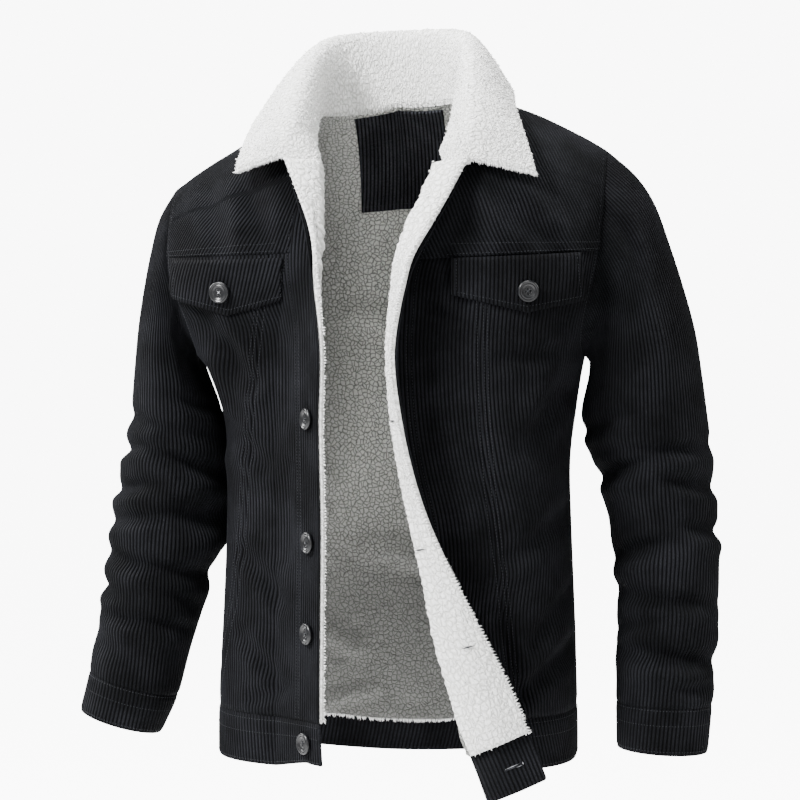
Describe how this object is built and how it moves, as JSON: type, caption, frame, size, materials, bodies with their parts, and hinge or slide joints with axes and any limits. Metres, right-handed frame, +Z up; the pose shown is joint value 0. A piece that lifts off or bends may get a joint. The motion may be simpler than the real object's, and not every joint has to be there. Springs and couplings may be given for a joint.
{
  "type": "sherpa lined jacket",
  "caption": "Open waist-length corduroy jacket with a pile collar and lining, chest flaps, cuffs and a waistband, in its worn hollow form.",
  "frame": {"origin": "middle of the neck opening, where the shoulders of a wearer hold the jacket up", "axes": "+Z up along the wearer's neck, +X to the wearer's left, -Y to the wearer's front"},
  "size_m": [0.6621, 0.3109, 0.7728],
  "materials": {
    "corduroy": "ribbed matt pile with a soft sheen",
    "sherpa": "deep curly matt pile",
    "buttons": "polished"
  },
  "bodies": {
    "root": {"back": "corduroy", "front_right": "corduroy", "front_left": "corduroy", "yoke_right": "corduroy", "yoke_left": "corduroy", "placket_right": "corduroy", "placket_left": "corduroy", "waistband": "corduroy", "sleeve_right": "corduroy", "sleeve_left": "corduroy", "cuff_right": "corduroy", "cuff_left": "corduroy", "flap_right": "corduroy", "flap_left": "corduroy", "neck_patch": "corduroy", "collar": "sherpa", "lining_back": "sherpa", "lining_right": "sherpa", "lining_left": "sherpa", "facing_right": "sherpa", "facing_left": "sherpa", "button_1": "buttons", "button_2": "buttons", "button_3": "buttons", "button_band": "buttons", "button_flap_right": "buttons", "button_flap_left": "buttons"}
  },
  "joints": []
}
